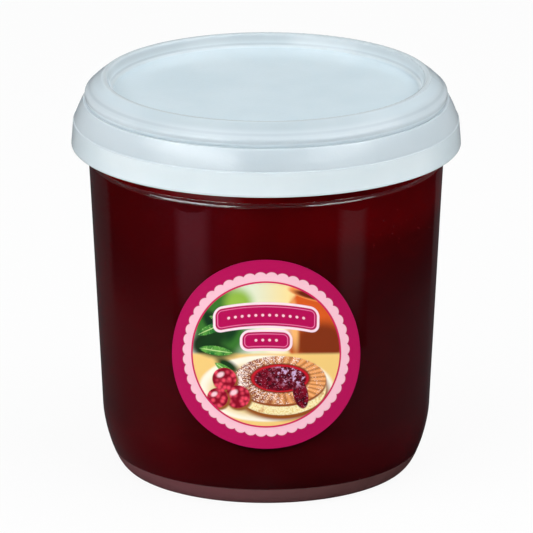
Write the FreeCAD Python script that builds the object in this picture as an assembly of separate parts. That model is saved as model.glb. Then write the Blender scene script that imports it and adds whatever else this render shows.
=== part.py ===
import FreeCAD, Part
import math
import os

# A bucket of baker's jam: a squat clear plastic jar with a thick base and a recessed neck, filled with
# jam, shut by a translucent press-on lid with a stacking recess, and a round label stuck on its front.
# Millimetres, +Z up. The origin is the centre of the ring that the jar stands on. The label faces -Y.

# Jar body
JAR_BASE_RADIUS = 48.6        # where the wall's slope would meet the table
JAR_DRAFT = 0.0497            # how much the radius grows for each millimetre of height
JAR_WALL = 1.8
JAR_FLOOR = 3.4               # thickness of the base
CORNER_WIDTH = 6.15           # the rounded lower corner, measured inwards from the wall
CORNER_HEIGHT = 18.5          # and upwards from the table
CORNER_FULLNESS = 0.4         # 0 is a straight chamfer, 0.55 a quarter ellipse
FOOT_WIDTH = 4.5              # the flat ring that it stands on
PUSH_UP = 0.9                 # how far the base inside that ring is raised
PUSH_UP_SLOPE = 2.0           # the width over which it rises
PUSH_UP_ROUND = 1.5

# Jar shoulder, neck, flange and rim
SHOULDER_HEIGHT = 95.4
SHOULDER_STEP = 0.7           # how far the neck is set in
SHOULDER_RISE = 1.0
SHOULDER_ROUND = 1.2          # the outer turn of the shoulder
SHOULDER_FILLET = 0.3         # the tight inner turn up into the neck
NECK_TO_FLANGE = 8.0          # from the shoulder up to the flange that the lid grips
FLANGE_WIDTH = 4.1
FLANGE_THICKNESS = 1.5
FLANGE_ROUND = 0.35
RIM_ROUND = 0.4

# Lid skirt
LID_WALL = 1.1
LID_DROP = 3.4                # how far its lower edge hangs below the flange
LID_EDGE_ROUND = 0.35
LID_BAND_HEIGHT = 7.4         # the nearly upright band at the bottom of the skirt
LID_BAND_DRAFT = 0.6
LID_BAND_STEP = 0.3           # the small step at the band's top
LID_SKIRT_HEIGHT = 6.4        # the sloping part of the skirt above the band
LID_SKIRT_BULGE = 0.15
SNAP_BEAD_DEPTH = 0.8         # the bead inside the skirt that grips under the flange
SNAP_BEAD_HEIGHT = 1.6

# Lid crown and panel
LID_GROOVE_DEPTH = 0.9        # the groove between the skirt and the crown
LID_GROOVE_HEIGHT = 1.0
LID_GROOVE_ROUND = 0.25
LID_CROWN_HEIGHT = 6.75       # from the skirt to the crest
LID_CROWN_OVERHANG = 0.35     # how far the crown stands out over the groove
LID_CROWN_UPRIGHT = 2.5       # the part of the crown that is nearly upright
LID_CROWN_ROUND = 1.2
LID_SHOULDER_WIDTH = 2.3      # the steep outer part of the crown's slope
LID_SHOULDER_DROP = 2.1       # how far its inner end lies below the crest
LID_SHOULDER_ROUND = 2.4
LID_CREST_INSET = 5.0         # from the crown's side in to the crest
LID_CREST_WIDTH = 1.6
LID_CREST_ROUND = 0.8
LID_RECESS_SLOPE = 1.3        # the width of the recess's sloping wall
LID_RECESS_DEPTH = 3.9        # the stacking recess, which takes the next jar's foot
LID_RECESS_ROUND = 1.5

# Filling
JAM_BELOW_RIM = 13.0

# Label
LABEL_WIDTH = 59.2            # measured along the curved wall
LABEL_HEIGHT = 59.7
LABEL_THICKNESS = 0.2
LABEL_CENTRE_HEIGHT = 49.4
LABEL_DROOP = 2.5             # how much lower its two sides hang than its middle
LABEL_OUTLINE_STEPS = 24

# Clearances
LID_ON_RIM = 0.1
CROWN_OVER_NECK = 0.66
SEAT_BEYOND_RIM = 0.25
FLANGE_IN_LID = 0.3
BEAD_UNDER_FLANGE = 0.3
JAM_IN_JAR = 0.05
LABEL_ON_JAR = 0.05


def wall_radius(height):
    """Outer radius of the jar's sloping wall."""
    return JAR_BASE_RADIUS + JAR_DRAFT * height


def lid_bore(height):
    """Inner radius of the lid's band, which leans in a little and clears the flange's top edge."""
    lean = LID_BAND_DRAFT / LID_BAND_HEIGHT
    return flange_radius + FLANGE_IN_LID + lean * (flange_top - height)


# The jar's neck follows the wall, and the lid follows the neck and flange.
foot_radius = wall_radius(0) - CORNER_WIDTH
neck_radius = wall_radius(SHOULDER_HEIGHT) - SHOULDER_STEP
neck_bore = wall_radius(SHOULDER_HEIGHT) - JAR_WALL
flange_height = SHOULDER_HEIGHT + NECK_TO_FLANGE
flange_top = flange_height + FLANGE_THICKNESS
flange_radius = neck_radius + FLANGE_WIDTH

edge_height = flange_height - LID_DROP
edge_radius = lid_bore(edge_height) + LID_WALL
band_height = edge_height + LID_BAND_HEIGHT
band_radius = lid_bore(band_height) + LID_WALL
groove_height = band_height + LID_SKIRT_HEIGHT
crown_bore = neck_radius + CROWN_OVER_NECK
crown_radius = crown_bore + LID_WALL
turn_height = groove_height + LID_CROWN_UPRIGHT
crest_height = groove_height + LID_CROWN_HEIGHT
crest_radius = crown_radius - LID_CREST_INSET
crest_inner_radius = crest_radius - LID_CREST_WIDTH
recess_radius = crest_inner_radius - LID_RECESS_SLOPE
panel_height = crest_height - LID_RECESS_DEPTH
seat_height = turn_height - LID_WALL / 2
rim_height = seat_height - LID_ON_RIM
jam_height = rim_height - JAM_BELOW_RIM


def at(radius, height):
    return FreeCAD.Vector(radius, 0, height)


def rounded(corners):
    """Straight edges through corners of (radius, height, rounding), joined by tangent arcs."""
    edges = []
    start = at(*corners[0][:2])
    for before, corner, after in zip(corners, corners[1:], corners[2:]):
        tip = at(*corner[:2])
        rounding = corner[2]
        if rounding == 0:
            edges.append(Part.makeLine(start, tip))
            start = tip
            continue
        back = (at(*before[:2]) - tip).normalize()
        onward = (at(*after[:2]) - tip).normalize()
        half_angle = back.getAngle(onward) / 2
        reach = rounding / math.tan(half_angle)
        middle = tip + (back + onward).normalize() * (rounding / math.sin(half_angle) - rounding)
        edges.append(Part.makeLine(start, tip + back * reach))
        edges.append(Part.Arc(tip + back * reach, middle, tip + onward * reach).toShape())
        start = tip + onward * reach
    edges.append(Part.makeLine(start, at(*corners[-1][:2])))
    return edges


def lower_corner(flat_end, wall_end):
    """The rounded corner between a flat bottom and the sloping wall, as a Bezier curve."""
    along = CORNER_FULLNESS * (wall_end[0] - flat_end[0])
    down = CORNER_FULLNESS * (wall_end[1] - flat_end[1])
    curve = Part.BezierCurve()
    curve.setPoles(
        [
            at(*flat_end),
            at(flat_end[0] + along, flat_end[1]),
            at(wall_end[0] - JAR_DRAFT * down, wall_end[1] - down),
            at(*wall_end),
        ]
    )
    return curve.toShape()


def turned(edges):
    """The solid that a closed outline sweeps out about the Z axis."""
    outline = Part.Wire(Part.__sortEdges__(edges))
    return Part.Face(outline).revolve(at(0, 0), FreeCAD.Vector(0, 0, 1), 360)


def cavity(gap):
    """Edges of the inside of the jar, from the middle of its floor to the neck, all set in by gap."""
    floor = JAR_FLOOR + gap
    flat_end = (foot_radius - JAR_WALL - gap, floor)
    wall_end = (wall_radius(CORNER_HEIGHT) - JAR_WALL - gap, CORNER_HEIGHT)
    return [
        Part.makeLine(at(0, floor), at(*flat_end)),
        lower_corner(flat_end, wall_end),
        Part.makeLine(at(*wall_end), at(neck_bore - gap, SHOULDER_HEIGHT)),
    ]


def make_jar():
    foot_inner = foot_radius - FOOT_WIDTH
    corner_top = (wall_radius(CORNER_HEIGHT), CORNER_HEIGHT)
    rim_round = min(RIM_ROUND, 0.45 * (neck_radius - neck_bore))
    underside = rounded(
        [
            (0, PUSH_UP, 0),
            (foot_inner - PUSH_UP_SLOPE, PUSH_UP, PUSH_UP_ROUND),
            (foot_inner, 0, 0),
            (foot_radius, 0, 0),
        ]
    )
    outside = rounded(
        [
            (*corner_top, 0),
            (wall_radius(SHOULDER_HEIGHT), SHOULDER_HEIGHT, SHOULDER_ROUND),
            (neck_radius, SHOULDER_HEIGHT + SHOULDER_RISE, SHOULDER_FILLET),
            (neck_radius, flange_height, 0),
            (flange_radius, flange_height, FLANGE_ROUND),
            (flange_radius, flange_top, FLANGE_ROUND),
            (neck_radius, flange_top, 0),
            (neck_radius, rim_height, rim_round),
            (neck_bore, rim_height, rim_round),
            (neck_bore, SHOULDER_HEIGHT, 0),
        ]
    )
    corner = lower_corner((foot_radius, 0), corner_top)
    middle = Part.makeLine(at(0, PUSH_UP), at(0, JAR_FLOOR))
    return turned(underside + [corner] + outside + cavity(0) + [middle])


def make_jam():
    bore = neck_bore - JAM_IN_JAR
    top = rounded(
        [
            (bore, SHOULDER_HEIGHT, 0),
            (bore, jam_height, 0),
            (0, jam_height, 0),
            (0, JAR_FLOOR + JAM_IN_JAR, 0),
        ]
    )
    return turned(cavity(JAM_IN_JAR) + top)


def lid_outside():
    """Edges of the lid's outer face, from its lower edge to the middle of the panel."""
    skirt_foot = at(band_radius - LID_BAND_STEP, band_height + LID_BAND_STEP)
    skirt_head = at(crown_radius + LID_GROOVE_DEPTH - LID_CROWN_OVERHANG, groove_height)
    bulge = at(LID_SKIRT_BULGE, LID_SKIRT_BULGE / 2)
    skirt_middle = (skirt_foot + skirt_head) * 0.5 + bulge
    band = rounded(
        [
            (lid_bore(edge_height), edge_height, 0),
            (edge_radius, edge_height, LID_EDGE_ROUND),
            (band_radius, band_height, LID_BAND_STEP / 2),
            (skirt_foot.x, skirt_foot.z, 0),
        ]
    )
    skirt = Part.Arc(skirt_foot, skirt_middle, skirt_head).toShape()
    crown = rounded(
        [
            (skirt_head.x, skirt_head.z, 0),
            (crown_radius - LID_CROWN_OVERHANG, groove_height, LID_GROOVE_ROUND),
            (crown_radius, groove_height + LID_GROOVE_HEIGHT, LID_GROOVE_ROUND),
            (crown_radius, turn_height, LID_CROWN_ROUND),
            (crown_radius - LID_SHOULDER_WIDTH, crest_height - LID_SHOULDER_DROP, LID_SHOULDER_ROUND),
            (crest_radius, crest_height, LID_CREST_ROUND),
            (crest_inner_radius, crest_height, LID_CREST_ROUND),
            (recess_radius, panel_height, LID_RECESS_ROUND),
            (0, panel_height, 0),
        ]
    )
    return band + [skirt] + crown


def lid_inside():
    """Edges of the lid's inner face, from the middle of the panel down to its lower edge."""
    bead_top = flange_height - BEAD_UNDER_FLANGE
    bead_bottom = bead_top - SNAP_BEAD_HEIGHT
    bead_middle = (bead_top + bead_bottom) / 2
    lower_bore = crown_bore - LID_CROWN_OVERHANG
    return rounded(
        [
            (0, panel_height - LID_WALL, 0),
            (recess_radius + LID_WALL / 3, panel_height - LID_WALL, LID_RECESS_ROUND),
            (crest_inner_radius + LID_WALL / 2, crest_height - LID_WALL, LID_WALL / 3),
            (crest_radius, crest_height - LID_WALL, LID_CREST_ROUND),
            (neck_bore - SEAT_BEYOND_RIM, seat_height, 0),
            (crown_bore, seat_height, 0),
            (crown_bore, groove_height + LID_GROOVE_HEIGHT, 0),
            (lower_bore, groove_height, LID_WALL),
            (lid_bore(band_height), band_height - LID_BAND_STEP, LID_WALL),
            (lid_bore(bead_top), bead_top, 0),
            (lid_bore(bead_top) - SNAP_BEAD_DEPTH, bead_middle, LID_EDGE_ROUND),
            (lid_bore(bead_bottom), bead_bottom, 0),
            (lid_bore(edge_height), edge_height, 0),
        ]
    )


def make_lid():
    middle = Part.makeLine(at(0, panel_height), at(0, panel_height - LID_WALL))
    return turned(lid_outside() + lid_inside() + [middle])


def label_outline():
    """The label's round edge as seen from the front, after it is wrapped round the wall."""
    half_width = LABEL_WIDTH / 2
    half_height = LABEL_HEIGHT / 2
    wrap_radius = wall_radius(LABEL_CENTRE_HEIGHT)
    side_depth = 1 - math.cos(half_width / wrap_radius)
    points = []
    for step in range(LABEL_OUTLINE_STEPS):
        turn = 2 * math.pi * step / LABEL_OUTLINE_STEPS
        wrap = half_width * math.cos(turn) / wrap_radius
        droop = LABEL_DROOP * (1 - math.cos(wrap)) / side_depth
        height = LABEL_CENTRE_HEIGHT + half_height * math.sin(turn) - droop
        points.append(at(wrap_radius * math.sin(wrap), height))
    curve = Part.BSplineCurve()
    curve.interpolate(points, PeriodicFlag=True)
    return Part.Wire(curve.toShape())


def make_label():
    """A round patch cut from a thin sleeve that lies on the wall."""
    low = LABEL_CENTRE_HEIGHT - LABEL_HEIGHT
    high = LABEL_CENTRE_HEIGHT + LABEL_HEIGHT
    inner = LABEL_ON_JAR
    outer = LABEL_ON_JAR + LABEL_THICKNESS
    sleeve = turned(
        rounded(
            [
                (wall_radius(low) + inner, low, 0),
                (wall_radius(low) + outer, low, 0),
                (wall_radius(high) + outer, high, 0),
                (wall_radius(high) + inner, high, 0),
                (wall_radius(low) + inner, low, 0),
            ]
        )
    )
    reach = FreeCAD.Vector(0, -2 * wall_radius(high), 0)
    cutter = Part.Face(label_outline()).extrude(reach)
    return sleeve.common(cutter)


def single_solid(shape):
    """The one solid of a shape, so that a node never holds a compound."""
    solids = shape.Solids
    if len(solids) != 1 or not solids[0].isValid():
        raise ValueError("expected one valid solid, found %d" % len(solids))
    return solids[0]


os.makedirs("parts", exist_ok=True)
makers = {"jar": make_jar, "jam": make_jam, "lid": make_lid, "label": make_label}
for name, make in makers.items():
    solid = single_solid(make())
    solid.exportStep("parts/%s.step" % name)
    print("%-6s %9.1f mm3" % (name, solid.Volume))
print("lid edge radius %.2f, height %.2f, crest %.2f" % (edge_radius, edge_height, crest_height))
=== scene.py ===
import math
import random

import bpy
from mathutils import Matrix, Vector


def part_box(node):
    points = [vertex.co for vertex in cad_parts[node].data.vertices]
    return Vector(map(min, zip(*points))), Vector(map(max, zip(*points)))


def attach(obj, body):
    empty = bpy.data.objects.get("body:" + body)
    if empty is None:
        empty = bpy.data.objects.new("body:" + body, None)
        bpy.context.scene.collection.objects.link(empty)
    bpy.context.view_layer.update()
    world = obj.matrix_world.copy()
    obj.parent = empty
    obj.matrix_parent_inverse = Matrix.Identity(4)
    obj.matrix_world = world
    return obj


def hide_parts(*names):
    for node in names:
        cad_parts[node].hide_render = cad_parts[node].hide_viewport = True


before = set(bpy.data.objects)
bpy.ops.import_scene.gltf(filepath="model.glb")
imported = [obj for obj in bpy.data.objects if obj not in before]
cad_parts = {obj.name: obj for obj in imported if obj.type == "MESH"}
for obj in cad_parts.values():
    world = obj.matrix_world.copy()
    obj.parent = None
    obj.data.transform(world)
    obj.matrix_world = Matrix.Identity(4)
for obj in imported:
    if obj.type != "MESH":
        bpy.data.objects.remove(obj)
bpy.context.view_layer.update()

jam_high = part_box("jam")[1]


# ---------------------------------------------------------------- the jar
# A squat jar moulded from clear plastic, thick at the base, with a small shoulder, a neck and a flange
# that the lid is pressed over. It is glossy, and the moulding leaves its wall very slightly uneven.

class Signal:
    """One output of a shader node. Sums, differences and products of signals add Math nodes."""

    def __init__(self, finish, socket):
        self.finish = finish
        self.socket = socket

    def math(self, operation, *others):
        values = dict(enumerate((self, *others)))
        return self.finish.node("ShaderNodeMath", {"operation": operation}, values)

    def __add__(self, other):
        return self.math("ADD", other)

    def __sub__(self, other):
        return self.math("SUBTRACT", other)

    def __mul__(self, other):
        return self.math("MULTIPLY", other)

    def __neg__(self):
        return self.math("MULTIPLY", -1.0)

    def __rsub__(self, other):
        return -self + other

    __rmul__ = __mul__


class Finish:
    """A procedural material, built node by node."""

    def __init__(self, name):
        self.material = bpy.data.materials.new(name)
        self.material.use_nodes = True
        self.tree = self.material.node_tree
        self.tree.nodes.clear()

    def node(self, kind, settings, values, output=0):
        """Adds a node, sets it up, fills or links its sockets, and gives back one of its outputs."""
        made = self.tree.nodes.new(kind)
        for key, setting in settings.items():
            setattr(made, key, setting)
        for key, value in values.items():
            if isinstance(value, Signal):
                self.tree.links.new(value.socket, made.inputs[key])
            else:
                made.inputs[key].default_value = value
        return Signal(self, made.outputs[output]) if made.outputs else None

    def place(self):
        """Where a point lies in the shared frame, as a vector."""
        return self.node("ShaderNodeTexCoord", {}, {}, "Object")

    def axes(self, vector):
        """The three parts of a vector."""
        first = self.node("ShaderNodeSeparateXYZ", {}, {0: vector})
        return [Signal(self, socket) for socket in first.socket.node.outputs]

    def noise(self, vector, size, detail=2.0, roughness=0.5):
        """Soft random values about 0.5, in patches of about the given size."""
        values = {"Vector": vector, "Scale": 1.0 / size, "Detail": detail, "Roughness": roughness}
        return self.node("ShaderNodeTexNoise", {}, values)

    def fade(self, value, start, end, low=0.0, high=1.0):
        """Goes smoothly from low to high as value goes from start to end."""
        settings = {"interpolation_type": "SMOOTHSTEP"}
        values = {"Value": value, "From Min": start, "From Max": end, "To Min": low, "To Max": high}
        return self.node("ShaderNodeMapRange", settings, values)

    def blend(self, share, first, second):
        """Mixes two colours."""
        settings = {"data_type": "RGBA", "blend_type": "MIX"}
        return self.node("ShaderNodeMix", settings, {0: share, 6: first, 7: second}, 2)

    def bump(self, height, distance, strength=1.0):
        """A bumpy normal from a height between 0 and 1."""
        values = {"Height": height, "Distance": distance, "Strength": strength}
        return self.node("ShaderNodeBump", {}, values)

    def surface(self, shader):
        """Ends the material with its shader."""
        self.node("ShaderNodeOutputMaterial", {}, {"Surface": shader})
        return self.material


def tone(red, green, blue):
    """A colour given as it looks on a screen, 0 to 255, for a shader."""
    channels = [channel / 255 for channel in (red, green, blue)]
    linear = [c / 12.92 if c <= 0.04045 else ((c + 0.055) / 1.055) ** 2.4 for c in channels]
    return (*linear, 1.0)


def cover(piece, material):
    """Gives a piece one material all over."""
    for slot in piece.material_slots:
        slot.material = material
    if not piece.material_slots:
        piece.data.materials.append(material)


WALL_WAVE = 0.022            # how far apart the moulded wall's soft waves are
SMEAR_SIZE = 0.009
CLEAR_INDEX = 1.57
FOOT_HAZE_TOP = 0.0055       # below this the thick foot is drawn milky, its colour a painted view of the shaded floor and the jam's red through it
FOOT_HAZE_EDGE = 0.0002
FOOT_HAZE = 0.85
FOOT_PAINTED_SHADE_SIDES = (-0.035, 0.035)    # where the foot's painted shade goes from lighter on the left to darker on the right

plastic = Finish("clear_plastic")
where = plastic.place()
waves = plastic.noise(where, WALL_WAVE, 1.0)
smears = plastic.noise(where, SMEAR_SIZE, 3.0)
gloss = {
    "Base Color": (0.98, 0.985, 0.985, 1.0),
    "Roughness": plastic.fade(smears, 0.45, 0.7, 0.015, 0.05),
    "Normal": plastic.bump(waves, 0.0002),
    "IOR": CLEAR_INDEX,
    "Transmission Weight": 1.0,
}
clear = plastic.node("ShaderNodeBsdfPrincipled", {}, gloss)
x, _, z = plastic.axes(where)
# painted reflection and shade: the foot's colour stands for the shaded floor and the jam seen through the
# base, lighter on the left
painted_foot_tone = plastic.blend(plastic.fade(x, *FOOT_PAINTED_SHADE_SIDES), tone(122, 70, 75), tone(98, 60, 59))
painted_foot_tone = plastic.blend(plastic.fade(smears, 0.35, 0.65, 0.0, 0.35), painted_foot_tone, tone(112, 70, 70))
foot_shader = {"Base Color": painted_foot_tone, "Roughness": 0.5, "Specular IOR Level": 0.3}
milky = plastic.node("ShaderNodeBsdfPrincipled", {}, foot_shader)
haze = plastic.fade(z, FOOT_HAZE_TOP + FOOT_HAZE_EDGE, FOOT_HAZE_TOP - FOOT_HAZE_EDGE, 0.0, FOOT_HAZE)
wall = plastic.node("ShaderNodeMixShader", {}, {0: haze, 1: clear, 2: milky})
see_through = plastic.node("ShaderNodeBsdfTransparent", {}, {"Color": (0.93, 0.93, 0.93, 1.0)})
from_lamp = plastic.node("ShaderNodeLightPath", {}, {}, "Is Shadow Ray")
cover(
    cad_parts["jar"],
    plastic.surface(plastic.node("ShaderNodeMixShader", {}, {0: from_lamp, 1: wall, 2: see_through})),
)


# ---------------------------------------------------------------- the jam
# A smooth baker's jam, poured in hot and set. It is deep red, nearly black where it is thick, and it
# wets the plastic all the way up, so its surface is drawn just inside the jar's wall.

INTO_WALL = 0.0001           # how far the jam reaches into the plastic, so that no air shows
JAR_WALL = 0.0018
JAR_FLOOR = 0.0034
WALL_FOOT_RADIUS = 0.0486    # where the wall's slope would meet the table
WALL_DRAFT = 0.0497          # how much the wall's radius grows with height
CORNER_WIDTH = 0.00615       # the rounded lower corner, measured inwards from the wall
CORNER_HEIGHT = 0.0185       # and upwards from the table
CORNER_FULLNESS = 0.4        # 0 is a straight chamfer, 0.55 a quarter ellipse
CORNER_STEPS = 14
WALL_STEPS = 8
SHOULDER_HEIGHT = 0.0954
ROUND_STEPS = 160
MENISCUS = 0.0006            # how far the jam creeps up the wall


def turned(name, outline):
    """Turns an outline of (radius, height) about the upright axis: a point extruded along it, then spun."""
    bpy.ops.object.select_all(action="DESELECT")
    bpy.ops.mesh.primitive_plane_add(size=0.001, location=(outline[0][0], 0, outline[0][1]))
    piece = bpy.context.object
    piece.name = name
    bpy.ops.object.mode_set(mode="EDIT")
    bpy.ops.mesh.merge(type="CENTER")
    for (radius, height), (next_radius, next_height) in zip(outline, outline[1:]):
        step = (next_radius - radius, 0, next_height - height)
        bpy.ops.mesh.extrude_region_move(TRANSFORM_OT_translate={"value": step})
    bpy.ops.mesh.select_all(action="SELECT")
    bpy.ops.mesh.spin(steps=ROUND_STEPS, angle=2 * math.pi, center=(0, 0, 0), axis=(0, 0, 1))
    bpy.ops.mesh.select_all(action="SELECT")
    bpy.ops.mesh.remove_doubles(threshold=0.000002)
    bpy.ops.mesh.normals_make_consistent(inside=False)
    bpy.ops.object.mode_set(mode="OBJECT")
    bpy.ops.object.transform_apply(location=True, rotation=True, scale=True)
    bpy.ops.object.shade_smooth_by_angle(angle=math.radians(40))
    return piece


def cavity_radius(height):
    """The radius of the jam's side, a little inside the plastic."""
    return WALL_FOOT_RADIUS + WALL_DRAFT * height - JAR_WALL + INTO_WALL


jam_floor = JAR_FLOOR - INTO_WALL
corner_foot = WALL_FOOT_RADIUS - CORNER_WIDTH - JAR_WALL
corner_reach = cavity_radius(CORNER_HEIGHT) - corner_foot
corner_rise = CORNER_HEIGHT - jam_floor
neck_bore = cavity_radius(SHOULDER_HEIGHT)
jam_level = jam_high.z

outline = [(0.0, jam_floor), (corner_foot / 2, jam_floor)]
for step in range(CORNER_STEPS + 1):
    t = step / CORNER_STEPS
    lead = 3 * CORNER_FULLNESS * (1 - t) ** 2 * t
    late = 3 * (1 - t) * t ** 2
    along = lead + late * (1 - WALL_DRAFT * CORNER_FULLNESS * corner_rise / corner_reach) + t ** 3
    up = late * (1 - CORNER_FULLNESS) + t ** 3
    outline.append((corner_foot + corner_reach * along, jam_floor + corner_rise * up))
for part in range(1, WALL_STEPS + 1):
    height = CORNER_HEIGHT + (SHOULDER_HEIGHT - CORNER_HEIGHT) * part / WALL_STEPS
    outline.append((cavity_radius(height), height))
outline += [
    (neck_bore, jam_level - 0.002),
    (neck_bore, jam_level),
    (neck_bore - 0.0008, jam_level - MENISCUS * 0.6),
    (neck_bore - 0.0022, jam_level - MENISCUS),
    (neck_bore * 0.7, jam_level - MENISCUS),
    (neck_bore * 0.35, jam_level - MENISCUS * 0.8),
    (0.0, jam_level - MENISCUS),
]
jam = turned("jam_filling", outline)

# heights and places between which the jam's tone changes, in metres; several of these changes are painted
# light and shade
DARK_SIDE = (-0.03, 0.03)
DARK_SIDE_HEIGHTS = (0.085, 0.06)
WINE_HEIGHTS = (0.09, 0.07)
LOW_REFLECTION_HEIGHTS = (0.024, 0.008)
LOW_REFLECTION_SIDES = (0.005, 0.035)
GLOOM_PLACES = (-0.004, -0.022)
GLOOM_HEIGHTS = (0.05, 0.08)
DRIFT_PLACES = (0.004, 0.03)
DRIFT_HEIGHTS = (0.084, 0.094)

jelly = Finish("jam")
where = jelly.place()
x, _, z = jelly.axes(where)
stretched = jelly.node("ShaderNodeMapping", {}, {"Vector": where, "Scale": (1.0, 1.0, 3.2)})
streaks = jelly.noise(stretched, 0.02, 4.0, 0.55)
clouds = jelly.noise(where, 0.045, 2.0)
deep = jelly.blend(jelly.fade(clouds, 0.35, 0.68), tone(76, 1, 3), tone(94, 2, 5))
deep = jelly.blend(jelly.fade(streaks, 0.5, 0.75, 0.0, 0.3), deep, tone(116, 3, 9))
# painted shade: the jam darker and greyer on the right, below the top of its wall
shady = jelly.fade(x - z * 0.5, *DARK_SIDE) * jelly.fade(z, *DARK_SIDE_HEIGHTS)
deep = jelly.blend(shady * 0.7, deep, tone(54, 10, 14))
# the jam darker and greyer lower down the jar
deep = jelly.blend(jelly.fade(z, *WINE_HEIGHTS) * 0.45, deep, tone(66, 12, 17))
# painted reflection: the low jam lighter and pinker towards the left and right, as the lit floor seen in the
# wall
low_corner_reflection = jelly.fade(z, *LOW_REFLECTION_HEIGHTS) * jelly.fade(x.math("ABSOLUTE"), *LOW_REFLECTION_SIDES, 0.2, 0.5)
deep = jelly.blend(low_corner_reflection, deep, tone(112, 20, 28))
# painted light: the jam brighter red high up, more so on the right
high_up = jelly.fade(z, SHOULDER_HEIGHT - 0.03, SHOULDER_HEIGHT + 0.002)
lit = jelly.blend(high_up * jelly.fade(x, -0.03, 0.004, 0.2, 0.5), deep, tone(104, 2, 6))
# painted shade: the jam darker on the left in its upper part
left_gloom = jelly.fade(x, *GLOOM_PLACES) * jelly.fade(z, *GLOOM_HEIGHTS)
lit = jelly.blend(left_gloom * 0.6, lit, tone(60, 1, 3))
# lighter red high on the right, with a cloudy lower edge
drift = jelly.fade(z + clouds * 0.014, *DRIFT_HEIGHTS) * jelly.fade(x, *DRIFT_PLACES)
lit = jelly.blend(drift * 0.6, lit, tone(118, 3, 10))
# painted light: in the neck the jam is much brighter red, where light gathers in the shoulder step; the
# streaks in it are the jam's own
in_neck = jelly.fade(z, SHOULDER_HEIGHT - 0.0006, SHOULDER_HEIGHT + 0.0014)
neck_streaks_and_glow = jelly.blend(jelly.fade(streaks, 0.35, 0.65), tone(130, 0, 2), tone(188, 2, 10))
lit = jelly.blend(in_neck, lit, neck_streaks_and_glow)
jelly_shader = {
    "Base Color": lit,
    "Roughness": jelly.fade(clouds, 0.3, 0.7, 0.16, 0.24),
    "Specular IOR Level": 0.25,
    "Specular Tint": (1.0, 0.12, 0.22, 1.0),
    "Normal": jelly.bump(streaks, 0.0004, 0.4),
}
cover(jam, jelly.surface(jelly.node("ShaderNodeBsdfPrincipled", {}, jelly_shader)))
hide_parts("jam")
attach(jam, "root")

BUBBLES = 44
BUBBLE_SIZES = (0.00012, 0.00024)
BUBBLE_CLUSTER = (math.radians(48), 0.083)    # where half of them gathered, as (azimuth, height)
CLUSTER_SPREAD = (0.2, 0.003)
BUBBLE_HEIGHTS = (0.03, 0.093)
BUBBLE_TOP = 0.0945
BUBBLE_DEPTH = 0.5           # how flat they lie against the wall
chance = random.Random(4)


def bubble_place(number):
    """Half of the bubbles lie in one drift near the shoulder, the rest all round."""
    if number % 2:
        azimuth = chance.gauss(BUBBLE_CLUSTER[0], CLUSTER_SPREAD[0])
        height = chance.gauss(BUBBLE_CLUSTER[1], CLUSTER_SPREAD[1])
    else:
        azimuth = chance.uniform(-math.pi, math.pi)
        height = chance.uniform(*BUBBLE_HEIGHTS)
    return azimuth, min(height, BUBBLE_TOP)


bpy.ops.object.select_all(action="DESELECT")
bubbles = []
for number in range(BUBBLES):
    azimuth, height = bubble_place(number)
    out = cavity_radius(height)
    spot = (out * math.sin(azimuth), -out * math.cos(azimuth), height)
    size = chance.uniform(*BUBBLE_SIZES)
    bpy.ops.mesh.primitive_ico_sphere_add(subdivisions=2, radius=size, location=spot)
    bubble = bpy.context.object
    bubble.scale = (1.0, BUBBLE_DEPTH, chance.uniform(0.8, 1.3))
    bubble.rotation_euler = (0, 0, azimuth)
    bubbles.append(bubble)
for bubble in bubbles:
    bubble.select_set(True)
bpy.ops.object.join()
bubbles = bpy.context.object
bubbles.name = "jam_bubbles"
bpy.ops.object.transform_apply(location=True, rotation=True, scale=True)
bpy.ops.object.shade_smooth()
fizz = Finish("jam_bubbles")
tint = fizz.noise(fizz.place(), 0.004, 1.0)
fizz_colour = fizz.blend(fizz.fade(tint, 0.35, 0.65), tone(112, 10, 14), tone(150, 26, 28))
fizz_shader = {"Base Color": fizz_colour, "Roughness": 0.25}
cover(bubbles, fizz.surface(fizz.node("ShaderNodeBsdfPrincipled", {}, fizz_shader)))
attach(bubbles, "root")


# ---------------------------------------------------------------- the lid
# A soft press-on lid moulded from milky plastic, with a band that grips the flange, a groove below its
# crown and a sunken panel that takes the foot of the next jar.

BAND_TOP = 0.1074            # the top of the thick band that grips the flange
CROWN_LINE = 0.1176          # halfway up the crown, where a fine line of painted crease shade runs and the slopes begin
GROOVE_LINE = 0.1145         # the groove below the crown
CREST_RADIUS = 0.0492        # the middle of the crest
PANEL_RADIUS = 0.046
PANEL_HEIGHT = 0.11665
ZONE_EDGE = 0.0006           # how soft the edge is between two zones of the top
LOWER_SHADED_EDGE = (0.1009, 0.1003)
BAND_SHADED_ENDS = (0.044, 0.057)
SLOPE_LIT_ENDS = (0.02, 0.05)

milk = Finish("frosted_plastic")
where = milk.place()
x, y, z = milk.axes(where)
flow = milk.noise(where, 0.03, 3.0)
grain = milk.noise(where, 0.0009, 2.0, 0.6)
from_axis = (x * x + y * y).math("SQRT")
patches = milk.fade(flow, 0.35, 0.65)
# painted light and shade: each zone of the lid gets its own tone, lighter or darker to even out how the
# lamps light it
skirt_painted_tone = milk.blend(patches, tone(193, 204, 210), tone(199, 209, 215))
band_painted_tone = milk.blend(patches, tone(218, 230, 235), tone(224, 235, 240))
# painted shade: the band darker towards its left and right ends, and along its rounded bottom edge
band_painted_tone = milk.blend(milk.fade(x.math("ABSOLUTE"), *BAND_SHADED_ENDS, 0.0, 0.7), band_painted_tone, tone(194, 206, 212))
band_painted_tone = milk.blend(milk.fade(z, *LOWER_SHADED_EDGE, 0.0, 0.5), band_painted_tone, tone(192, 203, 208))
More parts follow.
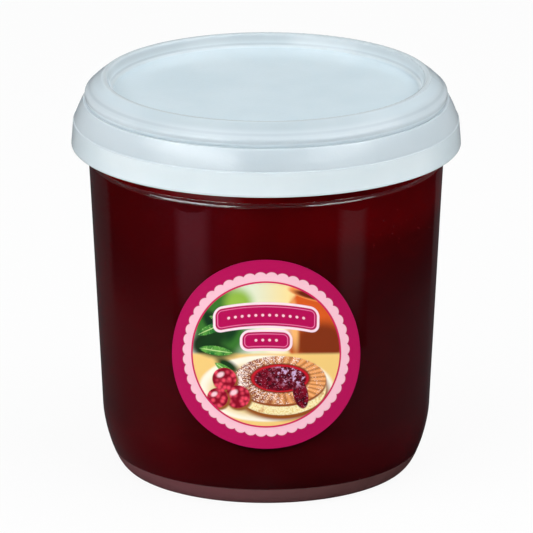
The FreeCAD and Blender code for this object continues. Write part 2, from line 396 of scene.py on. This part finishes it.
# painted shade on the crown's slopes, lifted by painted light towards the left and right
slope_painted_tone = milk.blend(patches, tone(180, 193, 199), tone(185, 197, 203))
slope_painted_tone = milk.blend(milk.fade(x.math("ABSOLUTE"), *SLOPE_LIT_ENDS), slope_painted_tone, tone(200, 213, 220))
# painted light: the sunken panel lighter
flat_top = milk.blend(patches, tone(202, 219, 228), tone(208, 224, 233))
body = milk.blend(milk.fade(z, BAND_TOP + 0.0004, BAND_TOP - 0.0004), skirt_painted_tone, band_painted_tone)
# painted light in the groove, lifting its shadow
in_groove = milk.fade((z - GROOVE_LINE).math("ABSOLUTE"), 0.0007, 0.0004)
body = milk.blend(in_groove * 0.5, body, tone(220, 234, 242))
body = milk.blend(milk.fade(z, CROWN_LINE + 0.0002, CROWN_LINE + 0.0016), body, slope_painted_tone)
# painted shade on the recess's inner wall
in_recess = milk.fade(from_axis, CREST_RADIUS + ZONE_EDGE, CREST_RADIUS - ZONE_EDGE)
body = milk.blend(in_recess, body, tone(193, 203, 208))
# painted light at the foot of the recess wall, lifting the shadow in its fillet
recess_foot = milk.fade(z, PANEL_HEIGHT + 0.0028, PANEL_HEIGHT + 0.0006)
recess_foot = recess_foot * milk.fade(from_axis, CREST_RADIUS, CREST_RADIUS - ZONE_EDGE)
body = milk.blend(recess_foot, body, tone(216, 228, 234))
on_panel = milk.fade(from_axis, PANEL_RADIUS + ZONE_EDGE, PANEL_RADIUS - ZONE_EDGE)
body = milk.blend(on_panel, body, flat_top)
# painted shade: a fine dark crease line halfway up the crown, and a fainter one at the band's step
crease_shade_line = milk.fade((z - CROWN_LINE).math("ABSOLUTE"), 0.0005, 0.0001)
band_step_shade = milk.fade((z - BAND_TOP).math("ABSOLUTE"), 0.0009, 0.0002)
body = milk.blend(band_step_shade * 0.1 + crease_shade_line * 0.5, body, tone(176, 188, 196))
milk_shader = {
    "Base Color": body,
    "Roughness": milk.fade(grain, 0.35, 0.65, 0.15, 0.2),
    "Specular IOR Level": 0.28,
    "Normal": milk.bump(grain * 0.3 + flow, 0.0003, 0.3),
    "IOR": 1.45,
    "Subsurface Weight": 1.0,
    "Subsurface Radius": (1.0, 1.0, 1.0),
    "Subsurface Scale": 0.002,
}
cover(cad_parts["lid"], milk.surface(milk.node("ShaderNodeBsdfPrincipled", {}, milk_shader)))


# ---------------------------------------------------------------- the label
# A round glossy sticker, printed and die-cut, pressed onto the front of the wall.

LABEL_MIDDLE = 0.0494        # the height of its middle
LABEL_DROOP = 2.5            # how much lower its sides hang than its middle, in mm
LABEL_ASPECT = 59.2 / 59.7   # its width over its height
WRAP_RADIUS = WALL_FOOT_RADIUS + WALL_DRAFT * LABEL_MIDDLE
SIDE_WRAP = 0.0296 / WRAP_RADIUS    # the angle that half its width takes up
EDGE_SOFT = 0.12             # how soft a printed edge is, in mm
SCALLOPS = 48
SCALLOP_RING = 23.8          # the ring that the scallops' middles lie on, in mm
SCALLOP_RADIUS = 2.0
LINE_RADIUS = 22.95          # the thin line round the picture, in mm
PICTURE_RADIUS = 22.4
MAGENTA = tone(185, 4, 84)
PINK = tone(248, 194, 208)

ink = Finish("printed_label")
x, y, z = ink.axes(ink.place())
wrap = x.math("ARCTAN2", -y)
droop = (1 - wrap.math("COSINE")) * (LABEL_DROOP / (1 - math.cos(SIDE_WRAP)))
across = wrap * (WRAP_RADIUS * 1000)
upward = ((z - LABEL_MIDDLE) * 1000 + droop) * LABEL_ASPECT
flat = ink.node("ShaderNodeCombineXYZ", {}, {0: across, 1: upward, 2: 0.0})
radius = ink.node("ShaderNodeVectorMath", {"operation": "LENGTH"}, {0: flat}, 1)


def inside(distance, edge, soft=EDGE_SOFT):
    """1 within an edge and 0 beyond it."""
    return ink.fade(distance, edge + soft, edge - soft)


def oval(place, size, turn=0.0, soft=0.05):
    """The area of an oval at a place on the label, with its half width and half height, in mm."""
    values = {
        "Vector": flat,
        "Location": (*place, 0.0),
        "Rotation": (0.0, 0.0, math.radians(turn)),
        "Scale": (*size, 1.0),
    }
    local = ink.node("ShaderNodeMapping", {"vector_type": "TEXTURE"}, values)
    reach = ink.node("ShaderNodeVectorMath", {"operation": "LENGTH"}, {0: local}, 1)
    return ink.fade(reach, 1 + soft, 1 - soft)


def leaf(base, length, width, turn):
    """A pointed leaf where two ovals overlap, with its rib."""
    lean = math.radians(turn)
    side = Vector((-math.sin(lean), math.cos(lean)))
    middle = Vector(base) + Vector((math.cos(lean), math.sin(lean))) * (length / 2)
    size = (length * 0.56, width)
    area = oval(middle + side * width * 0.5, size, turn) * oval(middle - side * width * 0.5, size, turn)
    return area, oval(middle, (length * 0.42, 0.16), turn, 0.3) * area


def plate(place, half_width, half_height, corner, bow):
    """How far a point lies outside the core of a round-cornered plate that bows up in its middle."""
    beside = (across - place[0]).math("ABSOLUTE") - (half_width - corner)
    above = (upward + across * across * bow - place[1]).math("ABSOLUTE") - (half_height - corner)
    beside = beside.math("MAXIMUM", 0.0)
    above = above.math("MAXIMUM", 0.0)
    return (beside * beside + above * above).math("SQRT")


# the blurred room behind: a cream wall, a terracotta jug to the right, a bush of leaves to the left
soft_noise = ink.noise(flat, 3.0, 3.0)
fine_noise = ink.noise(flat, 0.55, 3.0, 0.65)
sugar_noise = ink.noise(flat, 0.42, 2.0, 0.7)
picture = ink.blend(ink.fade(across, -8.0, 10.0), tone(226, 236, 214), tone(255, 226, 150))
fields = [
    (oval((14.5, 8.5), (9.5, 13.0), 0.0, 0.06), tone(222, 92, 30)),
    (oval((16.5, 3.5), (9.0, 6.5), 0.0, 0.35), tone(134, 50, 16)),
    (oval((14.5, 18.6), (8.2, 1.9), -14.0, 0.12), tone(248, 150, 78)),
    (oval((14.3, 18.2), (6.4, 1.1), -14.0, 0.3), tone(112, 36, 14)),
    (oval((8.2, 9.5), (1.2, 7.5), 4.0, 0.6), tone(255, 186, 110)),
    (oval((3.0, 6.0), (3.6, 7.0), 0.0, 0.5), tone(255, 244, 214)),
    (oval((-14.0, 10.0), (9.0, 13.0), 10.0, 0.3), tone(58, 120, 44)),
    (oval((-18.0, 3.0), (5.0, 4.0), 0.0, 0.4), tone(22, 44, 22)),
    (oval((-10.0, 8.5), (2.2, 5.0), -24.0, 0.5), tone(20, 62, 30)),
    (oval((-16.5, 10.5), (2.0, 3.6), 30.0, 0.5), tone(18, 52, 28)),
    (oval((-8.0, 16.0), (4.0, 4.4), 0.0, 0.5), tone(150, 190, 70)),
]
for area, colour in fields:
    picture = ink.blend(area, picture, colour)

# the table, and the plate on it
picture = ink.blend(ink.fade(upward, 0.9, -0.3), picture, tone(247, 206, 124))
picture = ink.blend(oval((0.0, -10.6), (20.6, 10.4), 0.0, 0.04), picture, tone(254, 246, 226))
picture = ink.blend(oval((0.0, -11.0), (17.6, 8.6), 0.0, 0.12), picture, tone(240, 214, 158))

# a sprig of leaves that hangs in from the left
for base, length, width, turn in (
    ((-21.0, 6.0), 10.5, 2.8, 24.0),
    ((-20.5, 2.0), 11.0, 2.9, -8.0),
    ((-17.0, 12.0), 9.5, 2.6, -14.0),
    ((-15.5, -2.5), 8.0, 2.3, -34.0),
):
    area, rib = leaf(base, length, width, turn)
    green = ink.blend(ink.fade(soft_noise, 0.35, 0.65), tone(26, 108, 44), tone(104, 176, 70))
    green = ink.blend(ink.fade(fine_noise, 0.56, 0.7), green, tone(166, 216, 130))
    under = oval((base[0] + length * 0.5, base[1] - 0.9), (length * 0.5, width * 0.7), turn, 0.5)
    picture = ink.blend(under, picture, tone(24, 60, 26))
    picture = ink.blend(area, picture, green)
    picture = ink.blend(rib, picture, tone(190, 222, 146))

# a jam tart: pale crumb below, a crimped golden rim dusted with sugar, and the jam with its shine
around = ((upward + 8.0) * 1.84).math("ARCTAN2", across - 4.2)
crimps = (around * 32.0).math("SINE")
crumb = ink.blend(ink.fade(fine_noise, 0.4, 0.7), tone(253, 240, 190), tone(236, 204, 122))
crumb = ink.blend(ink.fade(soft_noise, 0.56, 0.72) * 0.8, crumb, tone(206, 128, 52))
golden = ink.blend(ink.fade(across + soft_noise * 8.0, -4.0, 16.0), tone(142, 60, 34), tone(238, 156, 88))
golden = ink.blend(ink.fade(crimps, -0.1, -0.9) * 0.4, golden, tone(112, 44, 22))
golden = ink.blend(ink.fade(crimps, 0.2, 0.9) * 0.35, golden, tone(255, 206, 140))
dusting = ink.fade(sugar_noise + soft_noise * 0.5 - across * 0.006, 0.76, 0.86)
golden = ink.blend(dusting, golden, tone(255, 238, 230))
lumps = ink.noise(flat, 1.5, 3.0, 0.6)
dark_jam = ink.blend(ink.fade(lumps, 0.35, 0.6), tone(66, 2, 18), tone(132, 8, 34))
glossy_spot = ink.fade(lumps, 0.52, 0.6) * oval((7.6, -6.2), (5.4, 3.4), -10.0, 0.4)
glossy_spot = glossy_spot.math("MAXIMUM", ink.fade(fine_noise, 0.6, 0.68) * 0.8)
shine = ink.blend(glossy_spot, dark_jam, tone(206, 176, 214))
for area, colour in (
    (oval((4.8, -12.0), (14.6, 8.6), 0.0, 0.1), tone(150, 78, 24)),
    (oval((4.4, -10.8), (13.9, 8.2), 0.0, 0.02), crumb),
    (oval((4.3, -8.6), (14.1, 7.7), 0.0, 0.03), tone(150, 74, 30)),
    (oval((4.2, -8.0), (14.0, 7.6), 0.0, 0.02), golden),
    (oval((4.2, -7.4), (9.2, 4.7), 0.0, 0.06), tone(120, 40, 22)),
    (oval((4.2, -7.4), (8.6, 4.3), 0.0, 0.05), tone(206, 22, 40)),
    (oval((4.2, -7.5), (7.9, 3.8), 0.0, 0.05), shine),
    (oval((10.4, -12.4), (2.3, 4.6), 12.0, 0.06), shine),
):
    picture = ink.blend(area, picture, colour)

# three berries in front of it
drupelets = {"Vector": flat, "Scale": 0.72, "Smoothness": 0.4}
cells = ink.node("ShaderNodeTexVoronoi", {"feature": "SMOOTH_F1"}, drupelets)
berry = ink.blend(ink.fade(cells, 0.15, 0.75), tone(238, 70, 96), tone(140, 4, 34))
for place, size in (((-12.6, -7.6), 3.7), ((-8.6, -13.2), 3.8), ((-14.8, -13.6), 3.3)):
    shaded = (place[0] + 0.5, place[1] - 0.6)
    picture = ink.blend(oval(shaded, (size * 1.06, size * 1.0), 0.0, 0.12), picture, tone(150, 90, 40))
    picture = ink.blend(oval(place, (size, size * 0.95), 0.0, 0.04), picture, berry)
    glint = (place[0] - size * 0.3, place[1] + size * 0.35)
    picture = ink.blend(oval(glint, (size * 0.3, size * 0.2), 30.0, 0.5), picture, tone(255, 206, 214))

# two blank plates, each with a row of pale beads, where the words would be printed
PLATE_BOW = 0.008
bead_beside = (across + 60.0).math("MODULO", 2.0) - 1.0
for place, half_width, half_height in (((0.0, 12.4), 15.0, 3.3), ((0.0, 4.6), 7.0, 2.6)):
    beyond = plate(place, half_width, half_height, 2.0, PLATE_BOW)
    picture = ink.blend(inside(beyond, 2.75), picture, tone(254, 224, 234))
    picture = ink.blend(inside(beyond, 2.0), picture, MAGENTA)
    fine_rim = inside(beyond, 1.45, 0.09) * (1 - inside(beyond, 1.2, 0.09))
    picture = ink.blend(fine_rim, picture, tone(236, 120, 170))
    bead_above = upward + across * across * PLATE_BOW - place[1]
    bead = inside((bead_beside * bead_beside + bead_above * bead_above).math("SQRT"), 0.42)
    within = inside((across - place[0]).math("ABSOLUTE"), half_width - 3.0, 0.05)
    picture = ink.blend(bead * within, picture, tone(252, 196, 216))

# the rings round the picture
sector = 2 * math.pi / SCALLOPS
turn = (upward.math("ARCTAN2", across) + 2 * math.pi).math("MODULO", sector) - sector / 2
beside = radius * turn.math("SINE")
beyond = radius * turn.math("COSINE") - SCALLOP_RING
from_scallop = (beside * beside + beyond * beyond).math("SQRT")
paper_grain = ink.noise(flat, 0.25, 2.0)
pink_area = inside(from_scallop, SCALLOP_RADIUS).math("MAXIMUM", inside(radius, SCALLOP_RING))
colour = ink.blend(ink.fade(paper_grain, 0.3, 0.7), MAGENTA, tone(178, 12, 86))
colour = ink.blend(pink_area, colour, PINK)
colour = ink.blend(inside(radius, LINE_RADIUS), colour, tone(212, 16, 86))
colour = ink.blend(inside(radius, PICTURE_RADIUS), colour, picture)
label_shader = {
    "Base Color": colour,
    "Roughness": ink.fade(paper_grain, 0.3, 0.7, 0.38, 0.46),
    "Specular IOR Level": 0.08,
}
cover(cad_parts["label"], ink.surface(ink.node("ShaderNodeBsdfPrincipled", {}, label_shader)))


# ---------------------------------------------------------------- the studio
# A floor and air that look white, softboxes to the left, right, side and top, windows and skylights that
# only gloss shows, and two low cards that the camera doesn't see. Gloss sees the floor and air mostly dark.

FLOOR_SIZE = 6.0
FLOOR_GLOW = 0.92            # how white the floor looks; the rest of it shows the shadow
AIR_LIGHT = 0.42
AIR_IN_GLOSS = 0.18
LAMP_DISTANCE = 1.2
WINDOW_DISTANCE = 1.25
bpy.ops.object.select_all(action="DESELECT")
bpy.ops.mesh.primitive_plane_add(size=FLOOR_SIZE, location=(0, 0, 0))
floor = bpy.context.object
floor.name = "floor"
paper = Finish("floor_paper")
rays = paper.node("ShaderNodeLightPath", {}, {})
camera_ray = Signal(paper, rays.socket.node.outputs["Is Camera Ray"])
glossy_ray = Signal(paper, rays.socket.node.outputs["Is Glossy Ray"])
matt = paper.node("ShaderNodeBsdfDiffuse", {}, {"Color": (0.8, 0.8, 0.8, 1.0)})
glow = paper.node("ShaderNodeEmission", {}, {"Color": (1.0, 1.0, 1.0, 1.0), "Strength": 1.0})
px, py, _ = paper.axes(paper.place())
from_middle = (px * px + py * py).math("SQRT")
beside = px.math("ABSOLUTE")
# painted reflection: gloss sees the floor as a glow of its own, dark in front, a little lighter at the sides
# and behind, and bright far off to the front left
near_side = paper.fade(beside, 0.04, 0.1) * paper.fade(from_middle, 0.24, 0.15)
shade = paper.blend(near_side, (0.008, 0.008, 0.009, 1.0), (0.045, 0.042, 0.045, 1.0))
behind = paper.fade(py - 0.74 * beside - 0.66 * px.math("MAXIMUM", 0.0), -0.075, -0.035)
shade = paper.blend(behind, shade, (0.06, 0.055, 0.058, 1.0))
far_left = paper.fade(px, -0.08, -0.18) * paper.fade(py, -0.08, -0.16)
far_left = far_left * paper.fade(from_middle, 0.36, 0.42)
shade = paper.blend(far_left, shade, (1.6, 1.6, 1.6, 1.0))
dark = paper.node("ShaderNodeEmission", {}, {"Color": shade, "Strength": 1.0})
seen = paper.node("ShaderNodeMixShader", {}, {0: camera_ray * FLOOR_GLOW, 1: matt, 2: glow})
seen = paper.node("ShaderNodeMixShader", {}, {0: glossy_ray, 1: seen, 2: dark})
cover(floor, paper.surface(seen))

world = bpy.data.worlds.new("studio_air")
bpy.context.scene.world = world
world.use_nodes = True
air = world.node_tree
air.nodes.clear()
air_rays = air.nodes.new("ShaderNodeLightPath")
pale = air.nodes.new("ShaderNodeBackground")
pale.inputs["Color"].default_value = (1.0, 1.0, 1.0, 1.0)
pale.inputs["Strength"].default_value = 1.0
soft = air.nodes.new("ShaderNodeBackground")
soft.inputs["Color"].default_value = (0.95, 0.98, 1.0, 1.0)
soft.inputs["Strength"].default_value = AIR_LIGHT
dim = air.nodes.new("ShaderNodeBackground")
dim.inputs["Color"].default_value = (1.0, 1.0, 1.0, 1.0)
dim.inputs["Strength"].default_value = AIR_IN_GLOSS
gloss_mix = air.nodes.new("ShaderNodeMixShader")
air.links.new(air_rays.outputs["Is Glossy Ray"], gloss_mix.inputs[0])
air.links.new(soft.outputs[0], gloss_mix.inputs[1])
air.links.new(dim.outputs[0], gloss_mix.inputs[2])
air_mix = air.nodes.new("ShaderNodeMixShader")
air_out = air.nodes.new("ShaderNodeOutputWorld")
air.links.new(air_rays.outputs["Is Camera Ray"], air_mix.inputs[0])
air.links.new(gloss_mix.outputs[0], air_mix.inputs[1])
air.links.new(pale.outputs[0], air_mix.inputs[2])
air.links.new(air_mix.outputs[0], air_out.inputs["Surface"])

middle = Vector((0, 0, 0.06))


def softbox(name, azimuth, elevation, distance, width, height, brightness):
    """A softbox that faces the jar; azimuth 0 is in front, and brightness is what its face shows."""
    turn = math.radians(azimuth)
    lift = math.radians(elevation)
    away = Vector((math.sin(turn) * math.cos(lift), -math.cos(turn) * math.cos(lift), math.sin(lift)))
    bpy.ops.object.light_add(type="AREA", location=middle + away * distance)
    lamp = bpy.context.object
    lamp.name = name
    lamp.rotation_euler = away.to_track_quat("Z", "Y").to_euler()
    lamp.data.shape = "RECTANGLE"
    lamp.data.size = width
    lamp.data.size_y = height
    lamp.data.energy = brightness * math.pi * width * height
    return lamp


softbox("left_softbox", -51, 32, LAMP_DISTANCE, 1.33, 0.22, 8.0)
softbox("right_softbox", 53, 32, LAMP_DISTANCE, 0.9, 0.24, 5.2)
softbox("side_softbox", 96, 50, LAMP_DISTANCE, 0.8, 0.4, 2.6)
softbox("top_softbox", 0, 80, LAMP_DISTANCE, 1.0, 1.0, 1.5)
for window in (
    softbox("left_window", -46, 27, WINDOW_DISTANCE, 1.1, 1.0, 5.4),
    softbox("right_window", 46, 27, WINDOW_DISTANCE, 0.75, 1.0, 3.0),
    softbox("left_skylight", -80, 65, WINDOW_DISTANCE, 0.6, 0.45, 4.0),
    softbox("right_skylight", 80, 65, WINDOW_DISTANCE, 0.6, 0.45, 2.0),
):
    window.visible_diffuse = False
    window.visible_transmission = False


def card(name, first, second, top, colour, brightness):
    """A reflector card that stands on the floor between two points, unseen by the camera and matt things."""
    run = Vector((second[0] - first[0], second[1] - first[1], 0))
    centre = Vector(((first[0] + second[0]) / 2, (first[1] + second[1]) / 2, top / 2))
    bpy.ops.object.select_all(action="DESELECT")
    bpy.ops.mesh.primitive_plane_add(size=1.0, location=centre)
    piece = bpy.context.object
    piece.name = name
    piece.scale = (run.length, top, 1.0)
    piece.rotation_euler = (math.pi / 2, 0, math.atan2(run.y, run.x))
    bpy.ops.object.transform_apply(location=True, rotation=True, scale=True)
    board = Finish(name)
    bx, by, bz = board.axes(board.place())
    across_card = (bx - centre.x) * (run.x / run.length) + (by - centre.y) * (run.y / run.length)
    soft_sides = board.fade(across_card.math("ABSOLUTE"), run.length * 0.5, run.length * 0.15)
    strength = board.fade(bz, 0.0, top * 0.8) * soft_sides * brightness
    lit_board = board.node("ShaderNodeEmission", {}, {"Color": colour, "Strength": strength})
    cover(piece, board.surface(lit_board))
    piece.visible_camera = False
    piece.visible_diffuse = False
    piece.visible_shadow = False


card("left_card", (-0.139, -0.094), (-0.084, -0.150), 0.046, (1.0, 0.38, 0.5, 1.0), 0.47)
card("right_card", (0.103, -0.129), (0.142, -0.076), 0.048, (0.8, 0.8, 0.85, 1.0), 0.2)

CAMERA_DISTANCE = 2.265
CAMERA_LENS = 506.6          # in mm, for a sensor 36 mm wide
CAMERA_ELEVATION = math.radians(17.28)
CAMERA_AIM = Vector((0.0001, 0, 0.0608))
bpy.ops.object.camera_add()
camera = bpy.context.object
camera.name = "camera"
back = Vector((0, -math.cos(CAMERA_ELEVATION), math.sin(CAMERA_ELEVATION)))
camera.location = CAMERA_AIM + back * CAMERA_DISTANCE
camera.rotation_euler = back.to_track_quat("Z", "Y").to_euler()
camera.data.sensor_width = 36.0
camera.data.lens = CAMERA_LENS
bpy.context.scene.camera = camera
bpy.context.scene.view_settings.view_transform = "Standard"
